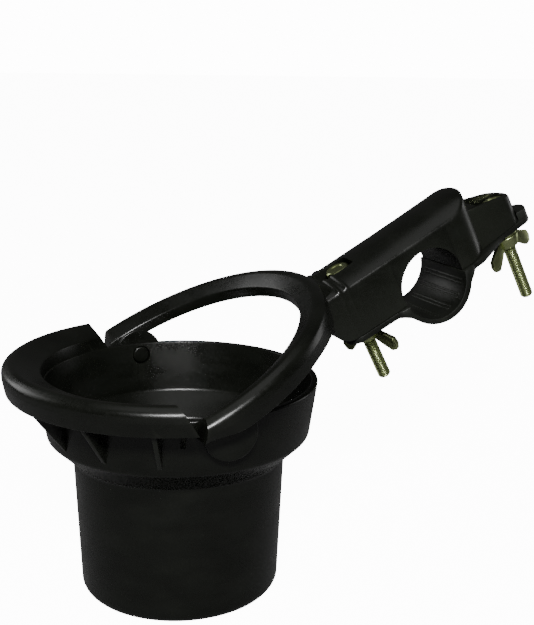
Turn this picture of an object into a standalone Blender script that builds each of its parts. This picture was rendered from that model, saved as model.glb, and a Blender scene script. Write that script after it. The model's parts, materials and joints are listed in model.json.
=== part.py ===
"""Hinged drink holder with a two-bolt bar clamp.

A moulded cup hangs on two studs between the ears of a half ring.  The ring is one
moulding with the upper half of a bar clamp; a ribbed lower jaw closes the clamp with
two hexagon bolts, washers and wing nuts.

World frame: metres, +Z up, the origin on the axis of the clamped bar, the bar along Y
and the cup on the -X side.  Every shape below is drawn in millimetres in one of two
design frames that share the cup hinge as their origin:
  cup frame   x, y, z with the cup's axis along z
  arm frame   u, y, w with u along the arm and w square to it; level when the arm is level
"""
import math

import bmesh
import bpy
from mathutils import Matrix, Vector

MM = 0.001
GAP = 0.3                   # clearance left between touching pieces
TURN_STEPS = 56             # facets round the big turned shapes

# Pose and layout
ARM_TILT = math.radians(27.3)
BAR_U, BAR_W = 98.8, -13.0  # bar axis in the arm frame
BAR_R = 13.1                # channel radius: a 25.4 mm bar and the grip ribs

# Cup: radii outside, heights from the hinge
RIM_R, RIM_Z = 48.9, 4.5
BAND_R, BAND_Z = 46.2, -12.4
BODY_TOP_R, BODY_TOP_Z = 36.8, -23.6
BODY_LOW_R, BODY_LOW_Z = 35.1, -67.6
BASE_R, BASE_Z = 31.4, -72.0
WALL = 2.4

# Rolled edge, shared by the cup's flange and the arm's ring
EDGE_WALL = 1.7
CROWN_R, CROWN_Z = 57.2, 12.5
EDGE_R, EDGE_Z = 60.3, 8.4
SKIRT_R, SKIRT_Z = 59.4, 3.0
FLANGE_LEG_R, FLANGE_LEG_TOP, FLANGE_LEG_LOW = 46.95, 8.4, 1.4
RING_LEG_R, RING_LEG_TOP, RING_LEG_LOW = 49.8, 9.4, 5.4
NOTCH_LEAN = math.radians(31.6)
NOTCH_DIST = 10.2           # from the hinge to the ring's cut ends
GUSSET_ANGLES = (18.7, 41.1, 64.1)
SHORT_GUSSET_ANGLE = 73
GUSSET_T = 1.6

# Hinge
EAR_R, EAR_Y, EAR_T = 9.0, 49.2, 1.9
STUD_R, STUD_HOLE_R, STUD_END_Y = 3.1, 3.5, 45.9

# Clamp: the arm's block and boss, and the lower jaw
HALF_W = 14.0
PART_W = -15.2              # underside of the block
BLOCK_U0, BLOCK_U1 = 56.5, 115.0
BLOCK_CORNER_R = 6.6
EDGE_W, CREST_W = 3.6, 7.0  # height of the ridge at its edges and along its middle
BEAD_U0, BEAD_U1, BEAD_RISE = 64.4, 66.2, 0.6
BOSS_TIP_U, BOSS_TIP_R = 147.7, 6.5
BOSS_RIM = ((122.0, 1.8), (148.0, -5.2))
BOSS_WALL = 1.4
JAW_T = 2.4
JAW_U0, JAW_TIP_U, JAW_TIP_R = 61.0, 153.0, 5.7
SADDLE_U, SADDLE_W, SADDLE_R = 99.3, -13.2, 15.3    # outside of the saddle
FLARE_U, FLARE_LENGTH, FLARE = 99.2, 17.5, 3.0      # the saddle is wider than the lugs
LUG_TAPER_U = 121.0
LIP_W = -13.3               # the tip's raised lip, beyond the boss
RIB_ANGLES = (-30, -54, -78, -104, -130, -152)
RIB_R, RIB_INSET, RIB_RISE = 0.9, 2.2, 0.4

# Hardware, M5
BOLT_R, BOLT_HOLE_R = 2.45, 2.8
HEAD_AF, HEAD_H = 8.0, 3.5
BOLTS = {"inner": dict(u=72.0, seat=3.1, length=45.0, nut_turn=math.radians(-65)),
         "outer": dict(u=141.3, seat=-7.8, length=40.0, nut_turn=math.radians(19))}
POCKET_HALF_W = 4.5
POCKET_U = (63.0, 77.4)
WASHER_R, WASHER_T = 5.0, 1.0
NUT_BASE_R, NUT_TOP_R, NUT_H, NUT_BORE_R = 5.1, 4.2, 4.8, 2.75
WING_T = 1.8
WING_OUTLINE = ((2.9, 0.7), (4.9, 0.7), (12.4, 5.2), (13.1, 7.4), (12.1, 10.0),
                (9.8, 10.6), (7.4, 8.4), (2.9, 4.4))


# ---------------------------------------------------------------- scene helpers
def clear_scene():
    for obj in list(bpy.data.objects):
        bpy.data.objects.remove(obj, do_unlink=True)


def collection(name):
    found = bpy.data.collections.get(name) or bpy.data.collections.new(name)
    if name not in bpy.context.scene.collection.children:
        bpy.context.scene.collection.children.link(found)
    return found


def add_object(name, mesh, group, parent):
    obj = bpy.data.objects.new(name, mesh)
    collection(group).objects.link(obj)
    obj.parent = parent
    return obj


def add_tool(name, mesh, parent):
    """A solid that only cuts or joins, kept out of the model."""
    obj = add_object(name, mesh, "drink_holder_tools", parent)
    obj.hide_render = True
    obj.display_type = "WIRE"
    return obj


def material(name, colour, roughness, metallic):
    mat = bpy.data.materials.new(name)
    mat.use_nodes = True
    shader = mat.node_tree.nodes["Principled BSDF"]
    shader.inputs["Base Color"].default_value = (*colour, 1.0)
    shader.inputs["Roughness"].default_value = roughness
    shader.inputs["Metallic"].default_value = metallic
    return mat


def combine(target, tool, operation):
    mod = target.modifiers.new(f"{operation.lower()}_{tool.name}", "BOOLEAN")
    mod.operation = operation
    mod.object = tool
    return target


def combine_all(target, tools, operation):
    """Join or cut with several tools in one step, from a collection of their own."""
    group = collection(f"{target.name}_{operation.lower()}")
    for tool in tools:
        bpy.data.collections["drink_holder_tools"].objects.unlink(tool)
        group.objects.link(tool)
    mod = target.modifiers.new(group.name, "BOOLEAN")
    mod.operation = operation
    mod.operand_type = "COLLECTION"
    mod.collection = group
    return target


def finish_part(obj, mat):
    obj.data.materials.clear()
    obj.data.materials.append(mat)
    obj.data.shade_smooth()
    obj.data.set_sharp_from_angle(angle=math.radians(32))


# ---------------------------------------------------------------- shape helpers
def arc(centre, radii, start, end, steps):
    """Points on an ellipse from start to end, in degrees."""
    points = []
    for i in range(steps + 1):
        a = math.radians(start + (end - start) * i / steps)
        points.append((centre[0] + radii[0] * math.cos(a), centre[1] + radii[1] * math.sin(a)))
    return points


def profile_mesh(name, points):
    """An open outline in the XZ plane, in millimetres, to be turned about Z."""
    mesh = bpy.data.meshes.new(name)
    verts = [(x * MM, 0.0, z * MM) for x, z in points]
    edges = [(i, i + 1) for i in range(len(verts) - 1)]
    mesh.from_pydata(verts, edges, [])
    return mesh


def turn_shell(obj, thickness):
    """Turn the outline into a surface and thicken it to the inside."""
    screw = obj.modifiers.new("turn", "SCREW")
    screw.steps = TURN_STEPS
    screw.render_steps = TURN_STEPS
    screw.use_merge_vertices = True
    screw.merge_threshold = 0.00001
    shell = obj.modifiers.new("wall", "SOLIDIFY")
    shell.thickness = thickness * MM
    shell.offset = -1.0
    shell.use_even_offset = True


def plate_mesh(name, outline, low, high, frame):
    """A flat outline extruded from low to high along the frame's third axis."""
    curve = bpy.data.curves.new(name, "CURVE")
    curve.dimensions = "2D"
    curve.fill_mode = "BOTH"
    curve.extrude = (high - low) / 2 * MM
    spline = curve.splines.new("POLY")
    spline.points.add(len(outline) - 1)
    for point, (x, y) in zip(spline.points, outline):
        point.co = (x * MM, y * MM, 0.0, 1.0)
    spline.use_cyclic_u = True
    obj = bpy.data.objects.new(name, curve)
    bpy.context.scene.collection.objects.link(obj)
    bpy.context.view_layer.update()
    mesh = bpy.data.meshes.new_from_object(obj.evaluated_get(bpy.context.evaluated_depsgraph_get()))
    bpy.data.objects.remove(obj)
    shape = bmesh.new()
    shape.from_mesh(mesh)
    bmesh.ops.remove_doubles(shape, verts=shape.verts, dist=0.000001)
    bmesh.ops.translate(shape, verts=shape.verts, vec=(0, 0, (high + low) / 2 * MM))
    bmesh.ops.transform(shape, verts=shape.verts, matrix=frame)
    bmesh.ops.recalc_face_normals(shape, faces=shape.faces)
    shape.to_mesh(mesh)
    shape.free()
    return mesh


def cylinder_mesh(name, radius, low, high, frame, sides=24, top_radius=None):
    mesh = bpy.data.meshes.new(name)
    shape = bmesh.new()
    top = radius if top_radius is None else top_radius
    bmesh.ops.create_cone(shape, cap_ends=True, segments=sides, radius1=radius * MM,
                          radius2=top * MM, depth=(high - low) * MM)
    bmesh.ops.translate(shape, verts=shape.verts, vec=(0, 0, (high + low) / 2 * MM))
    bmesh.ops.transform(shape, verts=shape.verts, matrix=frame)
    shape.to_mesh(mesh)
    shape.free()
    return mesh


def box_mesh(name, low, high, frame=Matrix()):
    mesh = bpy.data.meshes.new(name)
    shape = bmesh.new()
    bmesh.ops.create_cube(shape, size=1.0)
    size = Matrix.Diagonal([(b - a) * MM for a, b in zip(low, high)]).to_4x4()
    middle = Matrix.Translation([(a + b) / 2 * MM for a, b in zip(low, high)])
    bmesh.ops.transform(shape, verts=shape.verts, matrix=frame @ middle @ size)
    shape.to_mesh(mesh)
    shape.free()
    return mesh


def axes_frame(x_axis, y_axis, z_axis, origin=(0, 0, 0)):
    frame = Matrix((x_axis, y_axis, z_axis)).transposed().to_4x4()
    return Matrix.Translation(Vector(origin) * MM) @ frame


SIDE = axes_frame((1, 0, 0), (0, 0, 1), (0, -1, 0))     # outlines in u, w, extruded along -y
PLAN = axes_frame((1, 0, 0), (0, 1, 0), (0, 0, 1))      # outlines in u, y, extruded along w
ALONG = axes_frame((0, 1, 0), (0, 0, 1), (1, 0, 0))     # outlines in y, w, extruded along u


# ---------------------------------------------------------------- cup
def edge_outline(leg_r, leg_top, leg_low):
    """The rolled edge's outside: up the leg, over the crown and down the skirt."""
    shoulder = arc((CROWN_R, EDGE_Z), (EDGE_R - CROWN_R, CROWN_Z - EDGE_Z), 90, 0, 5)
    top = [(leg_r, leg_low), (leg_r, leg_top), ((leg_r + CROWN_R) / 2, (leg_top + CROWN_Z) / 2 + 0.35)]
    return top + shoulder + [(SKIRT_R, SKIRT_Z)]


def notch_cutter(name, parent, side, distance):
    """A block beyond the notch plane: side -1 leans away from the arm, 1 towards it."""
    normal = Vector((-math.cos(NOTCH_LEAN), 0, side * math.sin(NOTCH_LEAN)))
    across = Vector((0, 1, 0))
    frame = axes_frame(normal.cross(across) * -1, across, normal)
    if side < 0:
        return add_tool(name, box_mesh(name, (-80, -80, -150), (80, 80, distance), frame), parent)
    return add_tool(name, box_mesh(name, (-80, -80, distance), (80, 80, 150), frame), parent)


def make_flange(hinge):
    flange = add_tool("flange", profile_mesh("flange", edge_outline(
        FLANGE_LEG_R, FLANGE_LEG_TOP, FLANGE_LEG_LOW)), hinge)
    turn_shell(flange, EDGE_WALL)
    return combine(flange, notch_cutter("flange_end_cut", hinge, -1, NOTCH_DIST + GAP), "DIFFERENCE")


def gusset(name, hinge, angle, root_z):
    """A radial web between the band and the flange's skirt."""
    outline = [(45.1, root_z), (46.5, root_z), (58.5, SKIRT_Z + 0.4), (59.1, 8.6), (56.0, 11.8),
               (47.9, 7.6), (46.6, 0.0)]
    turn = Matrix.Rotation(math.radians(180 + angle), 4, "Z")
    half = GUSSET_T / 2
    return add_tool(name, plate_mesh(name, outline, -half, half, turn @ SIDE), hinge)


def make_cup(hinge, mat):
    cove = [(BAND_R, BAND_Z), (45.4, -14.9), (44.0, -16.7), (42.2, -18.2), (39.6, -20.4), (37.7, -22.1),
            (BODY_TOP_R, BODY_TOP_Z)]
    foot = arc((BASE_R, BODY_LOW_Z), (BODY_LOW_R - BASE_R, BODY_LOW_Z - BASE_Z), 0, -90, 4)
    outline = [(RIM_R, RIM_Z)] + cove + foot + [(0.0, BASE_Z)]
    cup = add_object("cup", profile_mesh("cup", outline), "drink_holder", hinge)
    turn_shell(cup, WALL)
    joined = [make_flange(hinge)]
    for sign in (1, -1):
        joined += [gusset(f"gusset_{sign * a}", hinge, sign * a, -12.2) for a in GUSSET_ANGLES]
        joined.append(gusset(f"gusset_{sign * SHORT_GUSSET_ANGLE}", hinge, sign * SHORT_GUSSET_ANGLE, -5.0))
    combine_all(cup, joined, "UNION")
    hole = cylinder_mesh("stud_hole", STUD_HOLE_R, -60, 60, SIDE)
    combine(cup, add_tool("stud_hole", hole, hinge), "DIFFERENCE")
    finish_part(cup, mat)
    return cup


# ---------------------------------------------------------------- arm
def block_side():
    """Side view of the clamp block, with the bar channel open below."""
    corner = arc((BLOCK_U0 + BLOCK_CORNER_R, PART_W + BLOCK_CORNER_R),
                 (BLOCK_CORNER_R, BLOCK_CORNER_R), 180, 270, 5)
    mouth = [(BAR_U - BAR_R, PART_W)] + arc((BAR_U, BAR_W), (BAR_R, BAR_R), 180, 0, 16)
    end = BLOCK_U1 + HALF_W + 2
    return ([(BLOCK_U0, 20.0)] + corner + mouth + [(BAR_U + BAR_R, PART_W), (end, PART_W), (end, 20.0)])


def ridge_section(rise):
    """Cross-section of the block: flat sides under a low crowned ridge."""
    half = HALF_W + rise / 2
    sag = CREST_W - EDGE_W
    radius = (half * half + sag * sag) / (2 * sag)
    lean = math.degrees(math.asin(half / radius))
    crown = arc((0, CREST_W + rise - radius), (radius, radius), 90 - lean, 90 + lean, 8)
    return crown + [(-half, PART_W - 5), (half, PART_W - 5)]


def make_block(hinge):
    block = add_tool("block", plate_mesh("block", block_side(), -30, 30, SIDE), hinge)
    end = arc((BLOCK_U1, 0), (HALF_W, HALF_W), 90, -90, 14)
    plan = [(BLOCK_U0 - 5, HALF_W)] + end + [(BLOCK_U0 - 5, -HALF_W)]
    combine(block, add_tool("block_plan", plate_mesh("block_plan", plan, -40, 40, PLAN), hinge), "INTERSECT")
    ridge = plate_mesh("block_ridge", ridge_section(0), BLOCK_U0 - 5, 140, ALONG)
    return combine(block, add_tool("block_ridge", ridge, hinge), "INTERSECT")


def tapered_plan(start, half_width, tip_u, tip_r, inset=0.0):
    """A lug that narrows from half_width at start to a round tip."""
    tip = arc((tip_u - tip_r, 0), (tip_r - inset, tip_r - inset), 80, -80, 10)
    return [(start, half_width - inset)] + tip + [(start, -half_width + inset)]


def make_boss(hinge):
    """The outer lug of the upper clamp: a cup-shaped boss round the bolt's head."""
    (u0, w0), (u1, w1) = BOSS_RIM
    side = [(u0, PART_W), (u1, PART_W), (u1, w1), (u0, w0)]
    boss = add_tool("boss", plate_mesh("boss", side, -20, 20, SIDE), hinge)
    plan = tapered_plan(u0, 9.6, BOSS_TIP_U, BOSS_TIP_R)
    return combine(boss, add_tool("boss_plan", plate_mesh("boss_plan", plan, -40, 40, PLAN), hinge), "INTERSECT")


def make_ear(name, hinge, side):
    low, high = sorted((side * EAR_Y, side * (EAR_Y + EAR_T)))
    return add_tool(name, cylinder_mesh(name, EAR_R, -high, -low, SIDE, 32), hinge)


def make_stud(name, hinge, side):
    low, high = sorted((side * STUD_END_Y, side * (EAR_Y + 0.5)))
    return add_tool(name, cylinder_mesh(name, STUD_R, -high, -low, SIDE, 20), hinge)


def bolt_hole(name, hinge, u):
    frame = axes_frame((1, 0, 0), (0, 1, 0), (0, 0, 1), (u, 0, 0))
    return add_tool(name, cylinder_mesh(name, BOLT_HOLE_R, -60, 30, frame, 20), hinge)


def make_arm(hinge, mat):
    outline = edge_outline(RING_LEG_R, RING_LEG_TOP, RING_LEG_LOW)
    arm = add_object("arm", profile_mesh("arm", outline), "drink_holder", hinge)
    turn_shell(arm, EDGE_WALL)
    combine(arm, notch_cutter("ring_end_cut", hinge, 1, NOTCH_DIST), "DIFFERENCE")
    neck = box_mesh("neck", (51.0, -HALF_W + 1, SKIRT_Z + 2.6), (59.2, HALF_W - 1, 11.2))
    bead = plate_mesh("bead", ridge_section(BEAD_RISE)[:-2] + [(-10, 0), (10, 0)], BEAD_U0, BEAD_U1, ALONG)
    joined = [add_tool("neck", neck, hinge), make_block(hinge), add_tool("bead", bead, hinge), make_boss(hinge)]
    for side, label in ((1, "left"), (-1, "right")):
        joined += [make_ear(f"ear_{label}", hinge, side), make_stud(f"stud_{label}", hinge, side)]
    combine_all(arm, joined, "UNION")
    floor = BOLTS["inner"]["seat"] - GAP
    pocket = box_mesh("inner_pocket", (POCKET_U[0], -POCKET_HALF_W, floor), (POCKET_U[1], POCKET_HALF_W, 30))
    floor = BOLTS["outer"]["seat"] - GAP
    hollow = tapered_plan(130.6, 8.3, BOSS_TIP_U, BOSS_TIP_R, BOSS_WALL)
    hollow = plate_mesh("outer_pocket", hollow, floor, 30, PLAN)
    cuts = [bolt_hole(f"arm_hole_{label}", hinge, bolt["u"]) for label, bolt in BOLTS.items()]
    cuts += [add_tool("inner_pocket", pocket, hinge), add_tool("outer_pocket", hollow, hinge)]
    combine_all(arm, cuts, "DIFFERENCE")
    finish_part(arm, mat)
    return arm


# ---------------------------------------------------------------- lower jaw
def jaw_side():
    """Side view of the strap: two flat lugs and a half-round saddle under the bar."""
    top = PART_W - GAP
    low = top - JAW_T
    inside = arc((BAR_U, BAR_W), (BAR_R, BAR_R), 0, -180, 18)
    outside = arc((SADDLE_U, SADDLE_W), (SADDLE_R, SADDLE_R), -159, -21, 16)
    outside = [(outside[0][0] - 2.0, low)] + outside + [(outside[-1][0] + 2.0, low)]
    upper = [(JAW_TIP_U, top)] + [p for p in inside if p[1] < top] + [(JAW_U0, top)]
    return upper + [(JAW_U0, low + 1.0), (JAW_U0 + 1.0, low)] + outside + [(JAW_TIP_U, low)]


def jaw_plan():
    corner = 5.0
    centre = JAW_U0 + corner - 0.3
    left = (arc((centre, -HALF_W + corner), (corner, corner), -90, -180, 4)
            + arc((centre, HALF_W - corner), (corner, corner), 180, 90, 4))
    flare = arc((FLARE_U, HALF_W), (FLARE_LENGTH, FLARE), 180, 0, 12)
    far = flare + [(LUG_TAPER_U, HALF_W), (137.5, 6.6)]
    near = [(u, -y) for u, y in reversed(far)]
    tip = arc((JAW_TIP_U - JAW_TIP_R, 0), (JAW_TIP_R, JAW_TIP_R), 88, -88, 12)
    return left + far + tip + near


def make_lip(slide):
    """A crescent raised at the jaw's tip, just clear of the boss above it."""
    inside_r = BOSS_TIP_R + GAP + 0.1
    centre = BOSS_TIP_U - BOSS_TIP_R
    inside = arc((centre, 0), (inside_r, inside_r), -40, 40, 8)
    outside = arc((JAW_TIP_U - JAW_TIP_R, 0), (JAW_TIP_R, JAW_TIP_R), 62, -62, 10)
    mesh = plate_mesh("jaw_lip", inside + outside, PART_W - 1.5, LIP_W, PLAN)
    return add_tool("jaw_lip", mesh, slide)


def make_jaw(slide, mat):
    jaw = add_object("lower_jaw", plate_mesh("lower_jaw", jaw_side(), -20, 20, SIDE), "drink_holder", slide)
    plan = plate_mesh("jaw_plan", jaw_plan(), -60, 20, PLAN)
    combine(jaw, add_tool("jaw_plan", plan, slide), "INTERSECT")
    reach = HALF_W - RIB_INSET
    joined = [make_lip(slide)]
    for i, angle in enumerate(RIB_ANGLES):
        a = math.radians(angle)
        offset = BAR_R + RIB_R - RIB_RISE
        centre = (BAR_U + offset * math.cos(a), 0, BAR_W + offset * math.sin(a))
        frame = axes_frame((1, 0, 0), (0, 0, 1), (0, -1, 0), centre)
        rib = cylinder_mesh(f"rib_{i}", RIB_R, -reach, reach, frame, 10)
        joined.append(add_tool(f"rib_{i}", rib, slide))
    combine_all(jaw, joined, "UNION")
    combine_all(jaw, [bolt_hole(f"jaw_hole_{k}", slide, b["u"]) for k, b in BOLTS.items()], "DIFFERENCE")
    finish_part(jaw, mat)
    return jaw


# ---------------------------------------------------------------- hardware
def make_bolt(label, bolt, hinge, mat):
    """Hexagon head with corners along the arm, and a plain shank."""
    frame = axes_frame((1, 0, 0), (0, 1, 0), (0, 0, 1), (bolt["u"], 0, bolt["seat"]))
    head = cylinder_mesh(f"bolt_{label}", HEAD_AF / math.sqrt(3), 0, HEAD_H, frame @ Matrix.Rotation(
        math.radians(30), 4, "Z"), 6)
    obj = add_object(f"bolt_{label}", head, "drink_holder", hinge)
    shank = cylinder_mesh(f"shank_{label}", BOLT_R, -bolt["length"], 1.0, frame, 20)
    combine(obj, add_tool(f"shank_{label}", shank, hinge), "UNION")
    finish_part(obj, mat)
    return obj


def make_washer(label, bolt, slide, mat):
    top = PART_W - 2 * GAP - JAW_T
    frame = axes_frame((1, 0, 0), (0, 1, 0), (0, 0, 1), (bolt["u"], 0, top))
    obj = add_object(f"washer_{label}", cylinder_mesh(f"washer_{label}", WASHER_R, -WASHER_T, 0, frame, 28),
                     "drink_holder", slide)
    bore = cylinder_mesh(f"washer_bore_{label}", NUT_BORE_R, -5, 5, frame, 20)
    combine(obj, add_tool(f"washer_bore_{label}", bore, slide), "DIFFERENCE")
    finish_part(obj, mat)
    return obj


def make_wing_nut(label, bolt, slide, mat):
    """The nut turns about the bolt's axis: its own empty stands on that axis."""
    base = PART_W - 3 * GAP - JAW_T - WASHER_T
    pivot = bpy.data.objects.new(f"nut_axis_{label}", None)
    collection("drink_holder").objects.link(pivot)
    pivot.parent = slide
    pivot.location = Vector((bolt["u"], 0, base)) * MM
    pivot.rotation_euler = (0, math.pi, bolt["nut_turn"])
    hub = cylinder_mesh(f"wing_nut_{label}", NUT_BASE_R, 0, NUT_H, Matrix(), 24, NUT_TOP_R)
    nut = add_object(f"wing_nut_{label}", hub, "drink_holder", pivot)
    for i, turn in enumerate((0, math.pi)):
        frame = Matrix.Rotation(turn, 4, "Z") @ SIDE
        wing = plate_mesh(f"wing_{label}_{i}", WING_OUTLINE, -WING_T / 2, WING_T / 2, frame)
        combine(nut, add_tool(f"wing_{label}_{i}", wing, pivot), "UNION")
    bore = cylinder_mesh(f"nut_bore_{label}", NUT_BORE_R, -5, 20, Matrix(), 20)
    combine(nut, add_tool(f"nut_bore_{label}", bore, pivot), "DIFFERENCE")
    finish_part(nut, mat)
    return nut


def empty(name, location, tilt):
    obj = bpy.data.objects.new(name, None)
    collection("drink_holder").objects.link(obj)
    obj.location = location
    obj.rotation_euler = (0, -tilt, 0)
    return obj


def main():
    clear_scene()
    c, s = math.cos(ARM_TILT), math.sin(ARM_TILT)
    hinge_at = Vector((-(BAR_U * c - BAR_W * s), 0, -(BAR_U * s + BAR_W * c))) * MM
    cup_hinge = empty("cup_hinge", hinge_at, 0.0)
    arm_hinge = empty("arm_hinge", hinge_at, ARM_TILT)
    jaw_slide = empty("jaw_slide", hinge_at, ARM_TILT)

    black = material("black_moulding", (0.012, 0.013, 0.012), 0.38, 0.0)
    jaw_black = material("jaw_moulding", (0.014, 0.015, 0.014), 0.45, 0.0)
    zinc = material("zinc_plate", (0.62, 0.62, 0.54), 0.32, 1.0)

    make_cup(cup_hinge, black)
    make_arm(arm_hinge, black)
    make_jaw(jaw_slide, jaw_black)
    for label, bolt in BOLTS.items():
        make_bolt(label, bolt, arm_hinge, zinc)
        make_washer(label, bolt, jaw_slide, zinc)
        make_wing_nut(label, bolt, jaw_slide, zinc)


main()
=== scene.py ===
"""Visual model of the hinged drink holder with a two-bolt bar clamp.

Shapes are drawn in millimetres in two design frames that meet at the cup hinge:
  cup frame   x, y, z with z along the cup's axis
  arm frame   u, y, w with u along the arm and w square to it
and are placed in the world, in metres, by the matrices CUP and ARM.
"""
import json
import math

import bmesh
import bpy
from mathutils import Matrix, Vector


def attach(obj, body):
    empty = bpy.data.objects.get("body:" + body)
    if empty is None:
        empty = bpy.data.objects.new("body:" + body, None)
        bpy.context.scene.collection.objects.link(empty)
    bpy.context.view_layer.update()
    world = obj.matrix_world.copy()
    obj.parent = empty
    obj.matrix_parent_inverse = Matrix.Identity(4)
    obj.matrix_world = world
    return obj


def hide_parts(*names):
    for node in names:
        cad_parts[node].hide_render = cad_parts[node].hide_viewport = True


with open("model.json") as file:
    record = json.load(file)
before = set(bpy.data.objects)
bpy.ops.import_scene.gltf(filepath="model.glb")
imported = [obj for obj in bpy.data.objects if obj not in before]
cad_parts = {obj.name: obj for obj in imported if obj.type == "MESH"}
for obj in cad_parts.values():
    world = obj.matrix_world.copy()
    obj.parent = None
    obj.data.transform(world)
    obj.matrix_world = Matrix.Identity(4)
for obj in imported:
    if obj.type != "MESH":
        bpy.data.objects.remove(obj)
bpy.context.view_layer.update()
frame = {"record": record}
JOINTS = {j["name"]: j for j in frame["record"]["behaviour"]["joints"]}

# Frames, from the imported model
MM = 0.001
HINGE = Vector(JOINTS["cup_hinge"]["pos_m"])
DOWN = Vector(JOINTS["jaw_slide"]["axis"])          # from the upper clamp half to the nuts
TILT = math.atan2(DOWN.x, -DOWN.z)
TO_METRES = Matrix.Scale(MM, 4)
CUP = Matrix.Translation(HINGE) @ TO_METRES
ARM = Matrix.Translation(HINGE) @ Matrix.Rotation(-TILT, 4, "Y") @ TO_METRES

# Cup, from the hinge height
RIM_R, RIM_Z = 48.9, 4.5
BASE_Z, WALL = -72.0, 2.4
SKIRT_Z = 3.0
NOTCH = Vector((math.cos(math.radians(31.6)), math.sin(math.radians(31.6))))
RING_END, FLANGE_END = 11.4, 9.3
GUSSETS = (18.7, 41.1, 64.1)
SHORT_GUSSET = 73.0         # ends under the flange, clear of the ring's ear
EAR_R, EAR_Y, EAR_T = 9.0, 49.2, 1.9
STUD_R, STUD_HOLE_R, STUD_END_Y = 3.1, 3.5, 45.9

# Clamp
BAR_U, BAR_W, BAR_R = 98.8, -13.0, 13.1
HALF_W, PART_W = 14.0, -15.2
BLOCK_U0, BLOCK_U1, END_REACH = 56.5, 115.2, 13.1
HEEL_R, PEAK_FROM_U, PEAK_RUN = 6.6, 66.0, 58.0
CREST_W, CREST_RISE, SAG, SAG_GROWTH, TOP_FILLET = 7.0, 2.2, 3.4, 1.1, 1.0
BOSS_U0, BOSS_HALF, BOSS_TIP_U, BOSS_TIP_R, BOSS_WALL = 122.0, 9.6, 147.9, 6.5, 1.4
JAW_TOP, JAW_T = -15.5, 2.4
JAW_U0, JAW_TIP_U, JAW_TIP_R = 61.0, 153.0, 5.7
JAW_CORNER, LUG_U0, LUG_U1, LUG_HALF = 5.0, 121.0, 137.5, 6.6
SADDLE_U, SADDLE_W, SADDLE_R, SADDLE_FILLET = 99.3, -13.2, 15.3, 8.0
FLARE_U, FLARE_LENGTH, FLARE = 99.2, 17.5, 3.0
LIP_W = -12.3

# Hardware, M5
PITCH, THREAD_R, ROOT_R, THREAD_LENGTH = 0.8, 2.45, 2.02, 26.0
HEAD_AF, HEAD_H = 8.0, 3.5
WASHER_R, WASHER_T, BORE_R = 5.0, 1.0, 2.75
NUT_BASE_W = -19.5
NUT_H = 4.8
BOLTS = {"inner": dict(u=72.0, seat=3.1, length=45.0, turn=-65.0),
         "outer": dict(u=141.3, seat=-7.8, length=40.0, turn=19.0)}


# ---------------------------------------------------------------- outlines
def arc(centre, radius, start, end, steps):
    """Points on a circle from start to end, in degrees."""
    out = []
    for i in range(steps + 1):
        a = math.radians(start + (end - start) * i / steps)
        out.append((centre[0] + radius * math.cos(a), centre[1] + radius * math.sin(a)))
    return out


def rounded(corners, steps=5, closed=True):
    """An outline from corners (x, y, radius), each rounded by its radius."""
    out = []
    count = len(corners)
    for i, (x, y, radius) in enumerate(corners):
        at = Vector((x, y))
        if radius <= 0 or (not closed and i in (0, count - 1)):
            out.append((x, y))
            continue
        a = (Vector(corners[i - 1][:2]) - at).normalized()
        b = (Vector(corners[(i + 1) % count][:2]) - at).normalized()
        half = a.angle(b) / 2
        reach = radius / math.tan(half)
        middle = at + (a + b).normalized() * (radius / math.sin(half))
        start, end = at + a * reach - middle, at + b * reach - middle
        sweep = start.angle_signed(end)
        for k in range(steps + 1):
            turn = Matrix.Rotation(-sweep * k / steps, 2)
            point = middle + turn @ start
            out.append((point.x, point.y))
    return out


def inset(points, distance):
    """The outline moved inwards by a distance; the outline runs anticlockwise."""
    out = []
    for i, point in enumerate(points):
        before = Vector(points[i - 1])
        at = Vector(point)
        after = Vector(points[(i + 1) % len(points)])
        n1 = (at - before).orthogonal().normalized()
        n2 = (after - at).orthogonal().normalized()
        n = n1 + n2
        shift = n / max(n.length_squared / 2, 0.35)
        out.append(tuple(at + shift * distance))
    return out


def smoothstep(x):
    x = min(max(x, 0.0), 1.0)
    return x * x * (3 - 2 * x)


# ---------------------------------------------------------------- solids
def loft(loops, place, caps=(True, True), joined=False):
    """A skin over loops of equally many points; joined closes the last loop on the first."""
    shape = bmesh.new()
    rings = [[shape.verts.new(place @ Vector(p)) for p in loop] for loop in loops]
    pairs = list(zip(rings, rings[1:]))
    if joined:
        pairs.append((rings[-1], rings[0]))
    for low, high in pairs:
        for i in range(len(low)):
            shape.faces.new((low[i - 1], low[i], high[i], high[i - 1]))
    if not joined and caps[0]:
        shape.faces.new(list(reversed(rings[0])))
    if not joined and caps[1]:
        shape.faces.new(rings[-1])
    bmesh.ops.recalc_face_normals(shape, faces=shape.faces)
    return shape


def add_piece(name, shape, mat, body, replaces=None, sharp=35.0):
    """Makes an object of the finished shape and hands it to the body it moves with."""
    mesh = bpy.data.meshes.new(name)
    shape.to_mesh(mesh)
    shape.free()
    obj = bpy.data.objects.new(name, mesh)
    bpy.context.scene.collection.objects.link(obj)
    mesh.materials.append(mat[0])
    mesh.shade_smooth()
    mesh.set_sharp_from_angle(angle=math.radians(sharp))
    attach(obj, body)
    if replaces:
        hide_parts(replaces)
    return obj


def plate(outline, low, high, place, chamfer=0.3):
    """An outline with softened edges, extruded along the third axis."""
    small = inset(outline, chamfer)
    mid = inset(outline, chamfer * 0.3)
    levels = ((small, low), (mid, low + chamfer * 0.3), (outline, low + chamfer),
              (outline, high - chamfer), (mid, high - chamfer * 0.3), (small, high))
    return loft([[(x, y, z) for x, y in points] for points, z in levels], place)


def turned(profile, place, segments=128, joined=False):
    """A profile of (radius, height) turned about the third axis."""
    loops = []
    for r, z in profile:
        loops.append([(r * math.cos(a), r * math.sin(a), z)
                      for a in (2 * math.pi * i / segments for i in range(segments))])
    return loft(loops, place, joined=joined)


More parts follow.
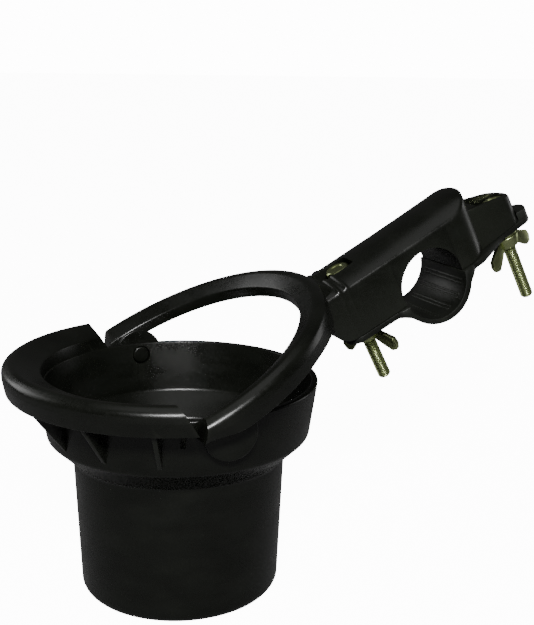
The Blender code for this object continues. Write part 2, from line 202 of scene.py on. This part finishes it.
def cut(obj, tools):
    """Takes the tools out of the piece for good."""
    for tool in tools:
        mod = obj.modifiers.new("cut", "BOOLEAN")
        mod.operation = "DIFFERENCE"
        mod.object = tool
    bpy.context.view_layer.update()
    graph = bpy.context.evaluated_depsgraph_get()
    mesh = bpy.data.meshes.new_from_object(obj.evaluated_get(graph))
    obj.modifiers.clear()
    old = obj.data
    obj.data = mesh
    bpy.data.meshes.remove(old)
    for tool in tools:
        bpy.data.objects.remove(tool)
    mesh.shade_smooth()
    mesh.set_sharp_from_angle(angle=math.radians(35))


def tool(name, shape):
    """An object that only cuts, and is removed once it has."""
    mesh = bpy.data.meshes.new(name)
    shape.to_mesh(mesh)
    shape.free()
    obj = bpy.data.objects.new(name, mesh)
    bpy.context.scene.collection.objects.link(obj)
    return obj


def axes(x_axis, y_axis, z_axis):
    """The turn that carries x, y and z onto the three directions."""
    return Matrix((x_axis, y_axis, z_axis)).transposed().to_4x4()


SIDE = axes((1, 0, 0), (0, 0, 1), (0, -1, 0))       # outlines in u, w, extruded along -y


# ---------------------------------------------------------------- materials
BLACK, BLACK_HAZE = (0.0024, 0.0028, 0.0019), (0.0055, 0.0062, 0.0046)
JAW_BLACK, JAW_HAZE = (0.0028, 0.0032, 0.0022), (0.0060, 0.0068, 0.0052)
ZINC_PALE, ZINC_DULL, ZINC_HOLLOW = (0.50, 0.57, 0.30), (0.38, 0.44, 0.19), (0.05, 0.055, 0.025)


def shader(name):
    mat = bpy.data.materials.new(name)
    mat.use_nodes = True
    return mat, mat.node_tree.nodes, mat.node_tree.links, mat.node_tree.nodes["Principled BSDF"]


def noise(nodes, links, scale, detail=3.0, stretch=None):
    """Noise in the piece's own coordinates, in metres, so it keeps its grain when it moves."""
    coords = nodes.new("ShaderNodeTexCoord")
    tex = nodes.new("ShaderNodeTexNoise")
    tex.inputs["Scale"].default_value = scale
    tex.inputs["Detail"].default_value = detail
    source = coords.outputs["Object"]
    if stretch:
        mapping = nodes.new("ShaderNodeMapping")
        mapping.inputs["Scale"].default_value = stretch
        links.new(source, mapping.inputs["Vector"])
        source = mapping.outputs["Vector"]
    links.new(source, tex.inputs["Vector"])
    return tex.outputs["Fac"]


def spread(nodes, links, source, low, high, from_low=0.3, from_high=0.7):
    rng = nodes.new("ShaderNodeMapRange")
    rng.inputs["From Min"].default_value = from_low
    rng.inputs["From Max"].default_value = from_high
    rng.inputs["To Min"].default_value = low
    rng.inputs["To Max"].default_value = high
    links.new(source, rng.inputs["Value"])
    return rng.outputs["Result"]


def blend(nodes, links, factor, first, second):
    mix = nodes.new("ShaderNodeMix")
    mix.data_type = "RGBA"
    links.new(factor, mix.inputs["Factor"])
    for socket, colour in ((mix.inputs["A"], first), (mix.inputs["B"], second)):
        if isinstance(colour, bpy.types.NodeSocket):
            links.new(colour, socket)
        else:
            socket.default_value = (*colour, 1.0)
    return mix.outputs["Result"]


def bump(nodes, links, height, distance, strength, under=None):
    node = nodes.new("ShaderNodeBump")
    node.inputs["Distance"].default_value = distance
    node.inputs["Strength"].default_value = strength
    links.new(height, node.inputs["Height"])
    if under is not None:
        links.new(under, node.inputs["Normal"])
    return node.outputs["Normal"]


def moulding(slot, colour, haze, rough, grain):
    """Satin black plastic: fine moulded grain, slow flow marks, dust haze and rubbed edges."""
    mat, nodes, links, bsdf = shader(slot)
    flow = noise(nodes, links, 60, 2.0, (1.0, 1.0, 2.2))
    dust = noise(nodes, links, 900, 4.0)
    fine = noise(nodes, links, 5200, 2.0)
    rub = nodes.new("ShaderNodeNewGeometry").outputs["Pointiness"]
    edge = spread(nodes, links, rub, 0.0, 1.0, 0.52, 0.62)
    base = blend(nodes, links, spread(nodes, links, flow, 0.0, 0.6), colour, haze)
    speck = blend(nodes, links, spread(nodes, links, dust, 0.0, 0.5, 0.62, 0.74), base, haze)
    worn = blend(nodes, links, edge, speck, tuple(c * 1.6 for c in haze))
    links.new(worn, bsdf.inputs["Base Color"])
    patchy = nodes.new("ShaderNodeMath")
    links.new(spread(nodes, links, flow, rough - 0.05, rough + 0.05), patchy.inputs[0])
    links.new(spread(nodes, links, dust, -0.02, 0.05), patchy.inputs[1])
    links.new(patchy.outputs[0], bsdf.inputs["Roughness"])
    waves = bump(nodes, links, flow, 0.0002, 0.10)
    links.new(bump(nodes, links, fine, 0.00004, grain, waves), bsdf.inputs["Normal"])
    bsdf.inputs["Specular IOR Level"].default_value = 0.36
    return mat, slot


def zinc_plate(slot):
    """Bright zinc on steel: pale with a yellow cast, dull patches, and dark in the hollows."""
    mat, nodes, links, bsdf = shader(slot)
    patch = noise(nodes, links, 260, 3.0)
    fine = noise(nodes, links, 2600, 3.0)
    rub = nodes.new("ShaderNodeNewGeometry").outputs["Pointiness"]
    hollow = spread(nodes, links, rub, 1.0, 0.0, 0.40, 0.50)
    plated = blend(nodes, links, spread(nodes, links, patch, 0.0, 1.0), ZINC_PALE, ZINC_DULL)
    shade = blend(nodes, links, hollow, plated, ZINC_HOLLOW)
    links.new(shade, bsdf.inputs["Base Color"])
    bsdf.inputs["Metallic"].default_value = 1.0
    links.new(spread(nodes, links, patch, 0.26, 0.36), bsdf.inputs["Roughness"])
    links.new(bump(nodes, links, fine, 0.00002, 0.15), bsdf.inputs["Normal"])
    return mat, slot


# ---------------------------------------------------------------- cup
def edge_section(leg_low, leg_low_r, leg_top_r, leg_top, skirt):
    """Closed section of the rolled edge: leg, sloped top, crown, bulge and skirt."""
    wall = 1.8
    return rounded([
        (leg_low_r, leg_low, 0.4), (leg_top_r, leg_top, 0.9), (57.0, 12.8, 3.2), (60.4, 10.6, 2.6),
        (60.3, 7.6, 1.5), (59.4, skirt, 0.4), (59.4 - wall + 0.2, skirt, 0.4), (58.4, 7.6, 1.0),
        (58.0, 9.9, 1.6), (56.0, 10.7, 2.0), (leg_top_r + wall + 0.4, leg_top - 1.6, 0.9),
        (leg_low_r + wall, leg_low, 0.4)], 6)


def swept_edge(sections, sign, distance, steps):
    """Sweeps a section round the axis as far as the notch plane on either side.

    sign -1 is the cup's half, +1 the arm's; sections(angle) gives the section there.
    """
    loops = []
    for i in range(steps + 1):
        part = -1 + 2 * i / steps
        loop = []
        for r, z in sections(part):
            if sign < 0:
                x_end = (-distance - NOTCH.y * z) / NOTCH.x
            else:
                x_end = (NOTCH.y * z - distance) / NOTCH.x
            span = math.acos(max(-1.0, min(1.0, sign * x_end / r)))
            a = part * span
            loop.append((sign * r * math.cos(a), sign * r * math.sin(a), z))
        loops.append(loop)
    return loops


def make_cup(mat):
    """Stepped shell with stud holes, the crescent flange, and gussets under it."""
    profile = rounded([
        (6.0, BASE_Z + WALL, 0), (32.7, BASE_Z + WALL, 3.2), (34.4, -23.2, 2.6), (43.9, -14.6, 2.2),
        (46.5, RIM_Z, 0.5), (RIM_R, RIM_Z, 0.7), (46.1, -14.6, 2.6), (37.3, -22.9, 3.0),
        (35.4, -68.6, 0.0), (35.2, BASE_Z, 3.6), (31.0, BASE_Z, 0.4), (30.4, BASE_Z + 0.5, 0.4),
        (6.0, BASE_Z + 0.5, 0)], 7, closed=False)
    cup = add_piece("cup_shell", turned(profile, CUP, 192), mat, "cup", "cup")
    hole = turned([(STUD_HOLE_R, -60), (STUD_HOLE_R, 60)], CUP @ SIDE, 48)
    cut(cup, [tool("stud_holes", hole)])

    def section(part):
        return edge_section(2.6, 46.47, 47.3, 9.0, SKIRT_Z)
    loops = swept_edge(section, -1, FLANGE_END, 120)
    add_piece("cup_flange", loft(loops, CUP), mat, "cup")
    for side in (1, -1):
        for i, angle in enumerate(GUSSETS + (SHORT_GUSSET,)):
            if angle == SHORT_GUSSET:
                web = [(45.3, -5.6, 0), (46.4, -5.6, 0), (58.2, SKIRT_Z + 0.2, 0), (58.2, 4.4, 0),
                       (46.6, 4.2, 0)]
            else:
                web = [(45.2, -12.2, 0), (46.6, -12.2, 0), (58.4, SKIRT_Z + 0.3, 0), (58.9, 8.8, 0),
                       (56.0, 11.4, 0), (48.2, 8.0, 0), (46.9, 0.0, 0)]
            turn = Matrix.Rotation(math.radians(180 + side * angle), 4, "Z")
            shape = plate(rounded(web), -0.8, 0.8, CUP @ turn @ SIDE, 0.25)
            label = "left" if side > 0 else "right"
            add_piece(f"gusset_{label}_{i + 1}", shape, mat, "cup")


# ---------------------------------------------------------------- arm
def ring_section(part):
    """The ring's skirt runs lower where it meets the neck and rises towards its ends."""
    depth = 3.0 * smoothstep(1.4 - 2.6 * abs(part)) - 3.0 * smoothstep((abs(part) - 0.84) / 0.16)
    return edge_section(5.4, 49.8, 50.3, 9.4, SKIRT_Z - depth)


def block_bottom(u):
    """Underside of the block: rounded heel, flat, and the bar channel."""
    if u < BLOCK_U0 + HEEL_R:
        return PART_W + HEEL_R - math.sqrt(max(HEEL_R ** 2 - (BLOCK_U0 + HEEL_R - u) ** 2, 0))
    if abs(u - BAR_U) < BAR_R:
        return BAR_W + math.sqrt(BAR_R ** 2 - (u - BAR_U) ** 2)
    return PART_W


def bead(u):
    """Two low collars round the block next to the ring."""
    return 0.55 * (math.exp(-((u - 64.2) / 0.7) ** 2) + math.exp(-((u - 67.4) / 0.7) ** 2))


def block_half(u):
    """Plan half-width: straight sides, then a round outer end."""
    return HALF_W * math.sqrt(max(1 - (max(u - BLOCK_U1, 0.0) / END_REACH) ** 2, 0.0))


def block_top(u, y):
    """Crowned ridge that climbs towards the outer end, with a rounded brim round its plan."""
    along = min(max((u - PEAK_FROM_U) / PEAK_RUN, 0.0), 1.0)
    rim = HALF_W - math.hypot(max(u - BLOCK_U1, 0.0) * HALF_W / END_REACH, y)
    soft = 0.9 + (TOP_FILLET - 0.9) * along
    rim = min(max(rim, 0.0), soft)
    drop = soft - math.sqrt(soft ** 2 - (soft - rim) ** 2)
    crest = CREST_W + CREST_RISE * along
    sag = (SAG + SAG_GROWTH * along) * abs(y / HALF_W) ** (2.2 + 0.7 * along ** 3)
    return crest - sag - drop


def block_loops():
    """Sections of the block square to the arm, closest where its shape changes."""
    heel = [BLOCK_U0 + HEEL_R * (1 - math.cos(math.radians(a))) for a in range(0, 91, 9)]
    collars = [63.2 + 0.2 * i for i in range(1, 30)]
    flat = [69.5 + 2.0 * i for i in range(8)]
    channel = [BAR_U - BAR_R * math.cos(math.radians(a)) for a in range(0, 181, 5)]
    tail = [112.6, 113.8]
    tail += [BLOCK_U1 + END_REACH * math.sin(math.radians(a)) for a in range(0, 90, 3)]
    spans = [-1, -0.985, -0.96, -0.92, -0.87, -0.8, -0.65, -0.45, -0.22, 0.0]
    spans += [-s for s in reversed(spans[:-1])]
    loops = []

    def station(u, bottom):
        half = block_half(u)
        top = [(u, s * half, block_top(u, s * half) + bead(u)) for s in spans]
        loops.append([(u, half, bottom), (u, -half, bottom)] + top)
    for u in heel + collars + flat:
        station(u, block_bottom(u))
    station(BAR_U - BAR_R, PART_W)
    for u in channel:
        station(u, BAR_W if abs(abs(u - BAR_U) - BAR_R) < 1e-6 else block_bottom(u))
    station(BAR_U + BAR_R, PART_W)
    for u in tail:
        station(u, PART_W)
    return loops


def boss_rim(u):
    """The rim falls towards the tip along a low arch."""
    arch = math.sin(math.pi * min(max((u - 124.0) / 26.0, 0), 1))
    return 2.5 - 0.27 * (u - BOSS_U0) + 0.9 * arch


def tapered_plan(start, half, tip_u, tip_r, steps=16):
    tip = arc((tip_u - tip_r, 0), tip_r, -82, 82, steps)
    return [(start, -half)] + tip + [(start, half)]


def boss_shape():
    """Tapered bolt boss, hollowed to the seat of the outer bolt's head."""
    plan = rounded([(x, y, 0) for x, y in tapered_plan(BOSS_U0, BOSS_HALF, BOSS_TIP_U, BOSS_TIP_R)])
    hollow = tapered_plan(130.6, 8.3 - BOSS_WALL - 0.3, BOSS_TIP_U - BOSS_WALL - 0.5,
                          BOSS_TIP_R - BOSS_WALL - 0.3)
    floor = BOLTS["outer"]["seat"] - 0.3
    levels = [[(x, y, PART_W) for x, y in plan],
              [(x, y, boss_rim(x) - 1.1) for x, y in plan],
              [(x, y, boss_rim(x) - 0.5) for x, y in inset(plan, 0.15)],
              [(x, y, boss_rim(x) - 0.15) for x, y in inset(plan, 0.5)],
              [(x, y, boss_rim(x)) for x, y in inset(plan, 1.0)],
              [(x, y, boss_rim(x) - 0.1) for x, y in inset(hollow, -0.3)],
              [(x, y, boss_rim(x) - 0.5) for x, y in hollow],
              [(x, y, floor + 0.4) for x, y in inset(hollow, 0.1)],
              [(x, y, floor) for x, y in inset(hollow, 0.5)]]
    return loft(levels, ARM)


def make_arm(mat):
    """Ring and its end walls, clamp block, boss, neck, and the ears with their pivot studs."""
    ring = swept_edge(ring_section, 1, RING_END, 140)
    add_piece("arm_ring", loft(ring, ARM), mat, "arm", "arm")
    for name, near, far in (("left", ring[-1], ring[-3]), ("right", ring[0], ring[2])):
        wall = [loop[len(loop) // 2 - 6:] for loop in (near, far)]
        add_piece(f"ring_end_{name}", loft(wall, ARM), mat, "arm")
    block = add_piece("clamp_block", loft(block_loops(), ARM), mat, "arm")
    pocket = [(63.0, -4.5, 1.2), (77.4, -4.5, 1.2), (77.4, 4.5, 1.2), (63.0, 4.5, 1.2)]
    pocket = [[(x, y, z) for x, y in rounded(pocket)] for z in (2.8, 20.0)]
    cut(block, [tool("inner_pocket", loft(pocket, ARM))])
    add_piece("clamp_boss", boss_shape(), mat, "arm")
    neck = rounded([(-12.6, 3.6, 1.5), (12.6, 3.6, 1.5), (11.6, 10.6, 2.4), (-11.6, 10.6, 2.4)])
    taper = ((56.4, 1.0, -1.2), (58.0, 1.0, -0.6), (60.0, 0.98, -1.6), (61.5, 0.95, -2.8),
             (63.0, 0.92, -4.2))
    loops = [[(u, y * k, max(z + (dz if z > 6 else 0), 3.0)) for y, z in neck] for u, k, dz in taper]
    add_piece("arm_neck", loft(loops, ARM), mat, "arm")
    for side, label in ((1, "left"), (-1, "right")):
        place = ARM @ axes((1, 0, 0), (0, 0, side), (0, side, 0))
        disc = rounded([(0.6, EAR_Y, 0), (EAR_R, EAR_Y, 0.3), (EAR_R, EAR_Y + EAR_T, 0.7),
                        (0.6, EAR_Y + EAR_T, 0)], 4, closed=False)
        add_piece(f"ear_{label}", turned(disc, place, 96), mat, "arm")
        stud = rounded([(0.5, STUD_END_Y, 0), (STUD_R, STUD_END_Y, 0.5), (STUD_R, 49.6, 0),
                        (0.5, 49.6, 0)], 4, closed=False)
        add_piece(f"stud_{label}", turned(stud, place, 48), mat, "arm")


# ---------------------------------------------------------------- lower jaw
def jaw_half_width(u):
    """Plan half-width of the strap: rounded corners, a wider saddle, then the tapered lug."""
    if u < JAW_U0 + JAW_CORNER:
        back = JAW_U0 + JAW_CORNER - u
        return HALF_W - JAW_CORNER + math.sqrt(max(JAW_CORNER ** 2 - back ** 2, 0))
    if u <= LUG_U0:
        return HALF_W + FLARE * math.sqrt(max(1 - ((u - FLARE_U) / FLARE_LENGTH) ** 2, 0))
    if u <= LUG_U1:
        return HALF_W + (LUG_HALF - HALF_W) * (u - LUG_U0) / (LUG_U1 - LUG_U0)
    centre = JAW_TIP_U - JAW_TIP_R
    if u <= centre:
        return LUG_HALF + (JAW_TIP_R - LUG_HALF) * (u - LUG_U1) / (centre - LUG_U1)
    return math.sqrt(max(JAW_TIP_R ** 2 - (u - centre) ** 2, 0.0))


def jaw_rails():
    """Upper and lower line of the strap in the side view, station by station."""
    low = JAW_TOP - JAW_T
    edge = math.degrees(math.asin((BAR_W - JAW_TOP) / BAR_R))
    inner = arc((BAR_U, BAR_W), BAR_R, 180 + edge, 360 - edge, 36)
    fillet_w = low - SADDLE_FILLET
    sink = SADDLE_W - fillet_w
    reach = math.sqrt((SADDLE_R + SADDLE_FILLET) ** 2 - sink ** 2)
    lean = math.degrees(math.atan2(sink, reach))
    outer = arc((SADDLE_U - reach, fillet_w), SADDLE_FILLET, 60, lean, 5)
    outer += arc((SADDLE_U, SADDLE_W), SADDLE_R, 180 + lean, 360 - lean, 26)[1:-1]
    outer += arc((SADDLE_U + reach, fillet_w), SADDLE_FILLET, 180 - lean, 120, 5)

    def underside(u):
        inward = max(reach - abs(u - SADDLE_U), 0)
        return fillet_w + math.sqrt(SADDLE_FILLET ** 2 - inward ** 2)
    left = [JAW_U0 + JAW_CORNER * (1 - math.cos(math.radians(a))) for a in (4, 15, 30, 45, 60, 75, 90)]
    left += [70.0, 74.0, 78.0, 80.6, 81.4, 82.2, 83.0]
    centre = JAW_TIP_U - JAW_TIP_R
    right = [115.6, 116.4, 117.2, 119.0, LUG_U0, 125.0, 129.0, 133.0, LUG_U1, 142.0]
    right += [centre + JAW_TIP_R * math.sin(math.radians(a)) for a in (0, 15, 30, 45, 58, 70, 80, 86)]
    rails = [((u, JAW_TOP), (u, underside(u))) for u in left]
    rails += list(zip(inner, outer, strict=True))
    return rails + [((u, JAW_TOP), (u, underside(u))) for u in right]


def make_jaw(mat):
    """The strap with softened edges and two bolt holes, its tip's lip, and paired grip ribs."""
    soft = 0.45
    loops = []
    for top, bottom in jaw_rails():
        top, bottom = Vector(top), Vector(bottom)
        across = (top - bottom).normalized()
        half = jaw_half_width((top.x + bottom.x) / 2)
        brim = min(soft, half * 0.4)
        loop = []
        for point, step in ((top, -1), (bottom, 1)):
            inner = point + across * step * brim * 0.3
            deep = point + across * step * brim
            row = [(deep, half), (inner, half - brim * 0.3), (point, half - brim),
                   (point, -half + brim), (inner, -half + brim * 0.3), (deep, -half)]
            loop += row if step < 0 else row[::-1]
        loops.append([(p.x, y, p.y) for p, y in loop])
    jaw = add_piece("jaw_strap", loft(loops, ARM), mat, "jaw", "lower_jaw")
    for label, bolt in BOLTS.items():
        hole = turned([(2.8, -25), (2.8, -10)], ARM @ Matrix.Translation((bolt["u"], 0, 0)), 40)
        cut(jaw, [tool(f"hole_{label}", hole)])
    inside = arc((BOSS_TIP_U - BOSS_TIP_R, 0), BOSS_TIP_R + 0.4, 40, -40, 14)
    outside = arc((JAW_TIP_U - JAW_TIP_R, 0), JAW_TIP_R, -60, 60, 18)
    add_piece("jaw_lip", plate(inside + outside, -16.4, LIP_W, ARM, 0.35), mat, "jaw")
    for i, angle in enumerate((-30, -54, -78, -104, -130, -152)):
        a = math.radians(angle)
        r = BAR_R + 0.5
        place = ARM @ Matrix.Translation((BAR_U + r * math.cos(a), 0, BAR_W + r * math.sin(a)))
        for k, off in enumerate((-0.75, 0.75)):
            slide = Matrix.Translation((-off * math.sin(a), 0, off * math.cos(a)))
            reach = 13.4 if angle > -120 else 10.5
            rib = rounded([(0.08, -reach, 0), (0.7, -reach, 0.45), (0.7, reach, 0.45),
                           (0.08, reach, 0)], 4, closed=False)
            add_piece(f"grip_rib_{i + 1}_{'ab'[k]}", turned(rib, place @ slide @ SIDE, 16), mat, "jaw")


# ---------------------------------------------------------------- hardware
def hex_radius(angle, flats):
    """Distance from the middle of a hexagon to its edge."""
    return flats / 2 / math.cos((angle + math.pi / 6) % (math.pi / 3) - math.pi / 6)


def make_bolt(label, bolt, mat):
    """Hexagon head with a chamfered top, and a shank with a rolled thread."""
    place = ARM @ Matrix.Translation((bolt["u"], 0, bolt["seat"]))
    levels = [(0.0, 3.7), (0.15, 3.9), (0.16, 9.0), (2.9, 9.0), (3.05, 4.45), (3.2, 4.25), (3.36, 4.0),
              (HEAD_H, 3.7), (HEAD_H, 2.4), (HEAD_H - 0.2, 2.1), (HEAD_H - 0.25, 0.3)]
    angles = [math.pi / 36 * i for i in range(72)]
    loops = []
    for z, limit in levels:
        ring = [min(hex_radius(a + math.pi / 6, HEAD_AF), limit) for a in angles]
        loops.append([(r * math.cos(a), r * math.sin(a), z) for r, a in zip(ring, angles)])
    add_piece(f"head_{label}", loft(loops, place), mat, "arm", f"bolt_{label}", 25)
    around, per_turn = 36, 16
    bottom = -bolt["length"]
    start = bottom + THREAD_LENGTH
    rows = int((start - bottom) / PITCH * per_turn)
    loops = [[(THREAD_R * math.cos(a), THREAD_R * math.sin(a), z)
              for a in (2 * math.pi * i / around for i in range(around))] for z in (0.4, start + 0.4)]
    for row in range(rows + 1):
        z = start - (start - bottom) * row / rows
        taper = smoothstep((z - bottom) / 0.7)
        loop = []
        for i in range(around):
            turn = i / around
            phase = (z / PITCH + turn) % 1.0
            ridge = 1 - abs(2 * phase - 1)
            depth = (THREAD_R - ROOT_R) * (1 - smoothstep(1.5 * ridge - 0.25))
            r = THREAD_R - depth * smoothstep((start - z) / 0.8)
            r = min(r, 1.95 + (THREAD_R - 1.95) * taper)
            a = 2 * math.pi * turn
            loop.append((r * math.cos(a), r * math.sin(a), z))
        loops.append(loop)
    add_piece(f"thread_{label}", loft(loops, place), mat, "arm", sharp=60)


def make_washer(label, bolt, mat):
    top = JAW_TOP - JAW_T - 0.3
    place = ARM @ Matrix.Translation((bolt["u"], 0, top))
    ring = rounded([(BORE_R, -WASHER_T, 0.1), (WASHER_R, -WASHER_T, 0.25), (WASHER_R, 0, 0.25),
                    (BORE_R, 0, 0.1)], 4)
    shape = turned(ring, place, 64, joined=True)
    add_piece(f"flat_washer_{label}", shape, mat, "jaw", f"washer_{label}")


def make_wing_nut(label, bolt, mat):
    """Turned hub, threaded side up, with two opposite wings."""
    place = (ARM @ Matrix.Translation((bolt["u"], 0, NUT_BASE_W))
             @ Matrix.Rotation(math.radians(bolt["turn"]), 4, "Z") @ Matrix.Rotation(math.pi, 4, "X"))
    hub = rounded([(BORE_R, 0, 0.3), (5.1, 0, 0.5), (4.9, 1.6, 0.8), (4.1, NUT_H, 0.7),
                   (BORE_R, NUT_H, 0.4)], 5)
    body = f"nut_{label}"
    shape = turned(hub, place, 64, joined=True)
    add_piece(f"nut_hub_{label}", shape, mat, body, f"wing_nut_{label}")
    wing = rounded([(3.2, 0.9, 0.5), (5.0, 0.8, 1.0), (12.3, 5.1, 0.8), (13.0, 7.4, 1.2),
                    (12.1, 10.0, 0.8), (9.8, 10.5, 0.8), (7.2, 8.2, 2.0), (3.2, 4.2, 0.4)])
    for i, turn in enumerate((0, math.pi)):
        shape = plate(wing, -0.95, 0.95, place @ Matrix.Rotation(turn, 4, "Z") @ SIDE, 0.35)
        add_piece(f"nut_wing_{label}_{i + 1}", shape, mat, body)


# ---------------------------------------------------------------- stage
AMBIENT, BACKGROUND, FLOOR_GLOW = 0.06, 14.0, 12.5  # light on the object, then what is seen behind
LIGHTS = (                                          # name, place from the middle, size, power
    ("key", (-0.32, -0.78, 0.60), (0.24, 0.14), 19.0),
    ("top", (-0.10, -0.05, 1.1), (0.8, 0.6), 1.2),
    ("rim", (0.90, 0.10, 0.10), (0.3, 0.6), 0.7),
    ("back", (-0.65, 0.7, 0.35), (0.5, 0.5), 2.2))


def look(location, right, up, back):
    turn = Matrix((right, up, back)).transposed().to_4x4()
    turn.translation = location
    return turn


def make_camera():
    """Stands left of the cup's front, a little above the ring, about 360 mm away."""
    azimuth, heading = math.radians(-18.4), math.radians(-23.48)
    pitch, roll = math.radians(13.33), math.radians(0.70)
    distance, height = 346.6, 104.9 + RIM_Z
    offset = Vector((math.sin(azimuth) * distance, -math.cos(azimuth) * distance, height))
    forward = Vector((-math.sin(heading) * math.cos(pitch), math.cos(heading) * math.cos(pitch),
                      -math.sin(pitch)))
    level = Vector((math.cos(heading), math.sin(heading), 0))
    upright = level.cross(forward)
    right = level * math.cos(roll) + upright * math.sin(roll)
    up = upright * math.cos(roll) - level * math.sin(roll)
    data = bpy.data.cameras.new("camera")
    data.sensor_width = 36.0
    data.lens = 59.11
    data.clip_start = 0.01
    cam = bpy.data.objects.new("camera", data)
    bpy.context.scene.collection.objects.link(cam)
    cam.matrix_world = look(HINGE + offset * MM, right, up, -forward)
    bpy.context.scene.camera = cam


def area_light(name, location, target, size, power):
    data = bpy.data.lights.new(name, "AREA")
    data.shape = "RECTANGLE"
    data.size, data.size_y = size
    data.energy = power
    obj = bpy.data.objects.new(name, data)
    bpy.context.scene.collection.objects.link(obj)
    obj.location = Vector(location)
    obj.rotation_euler = (Vector(target) - obj.location).to_track_quat("-Z", "Y").to_euler()


def seen_or_lit(tree, seen, lit):
    """Chooses one shader for what is looked at directly and another for reflections."""
    path = tree.nodes.new("ShaderNodeLightPath")
    mix = tree.nodes.new("ShaderNodeMixShader")
    tree.links.new(path.outputs["Is Camera Ray"], mix.inputs["Fac"])
    tree.links.new(lit, mix.inputs[1])
    tree.links.new(seen, mix.inputs[2])
    return mix.outputs[0]


def make_stage():
    """Pale paper floor that runs into a pale background; both are dimmer as light sources."""
    mat, nodes, links, paper = shader("floor_paper")
    links.new(blend(nodes, links, noise(nodes, links, 3.0), (0.86, 0.86, 0.86), (0.82, 0.82, 0.82)),
              paper.inputs["Base Color"])
    paper.inputs["Roughness"].default_value = 0.9
    paper.inputs["Emission Color"].default_value = (1.0, 1.0, 1.0, 1.0)
    paper.inputs["Emission Strength"].default_value = FLOOR_GLOW
    dim = nodes.new("ShaderNodeBsdfDiffuse")
    dim.inputs["Color"].default_value = (0.16, 0.16, 0.16, 1.0)
    links.new(seen_or_lit(mat.node_tree, paper.outputs[0], dim.outputs[0]),
              nodes["Material Output"].inputs["Surface"])
    mesh = bpy.data.meshes.new("floor")
    shape = bmesh.new()
    bmesh.ops.create_circle(shape, cap_ends=True, segments=96, radius=30.0)
    shape.to_mesh(mesh)
    shape.free()
    floor = bpy.data.objects.new("floor", mesh)
    bpy.context.scene.collection.objects.link(floor)
    floor.location = (0, 0, HINGE.z + (BASE_Z - 0.4) * MM)
    mesh.materials.append(mat)

    world = bpy.data.worlds.new("studio")
    bpy.context.scene.world = world
    world.use_nodes = True
    tree = world.node_tree
    around = tree.nodes["Background"]
    around.inputs["Color"].default_value = (1.0, 1.0, 1.0, 1.0)
    around.inputs["Strength"].default_value = AMBIENT
    white = tree.nodes.new("ShaderNodeBackground")
    white.inputs["Color"].default_value = (1.0, 1.0, 1.0, 1.0)
    white.inputs["Strength"].default_value = BACKGROUND
    tree.links.new(seen_or_lit(tree, white.outputs[0], around.outputs[0]),
                   tree.nodes["World Output"].inputs["Surface"])

    middle = HINGE + Vector((0.03, 0, 0.0))
    for name, offset, size, power in LIGHTS:
        area_light(name, middle + Vector(offset), middle, size, power)


def main():
    black = moulding("black_moulding", BLACK, BLACK_HAZE, 0.28, 0.25)
    jaw_black = moulding("jaw_moulding", JAW_BLACK, JAW_HAZE, 0.40, 0.35)
    zinc = zinc_plate("zinc_plate")
    make_cup(black)
    make_arm(black)
    make_jaw(jaw_black)
    for label, bolt in BOLTS.items():
        make_bolt(label, bolt, zinc)
        make_washer(label, bolt, zinc)
        make_wing_nut(label, bolt, zinc)
    make_camera()
    make_stage()


main()
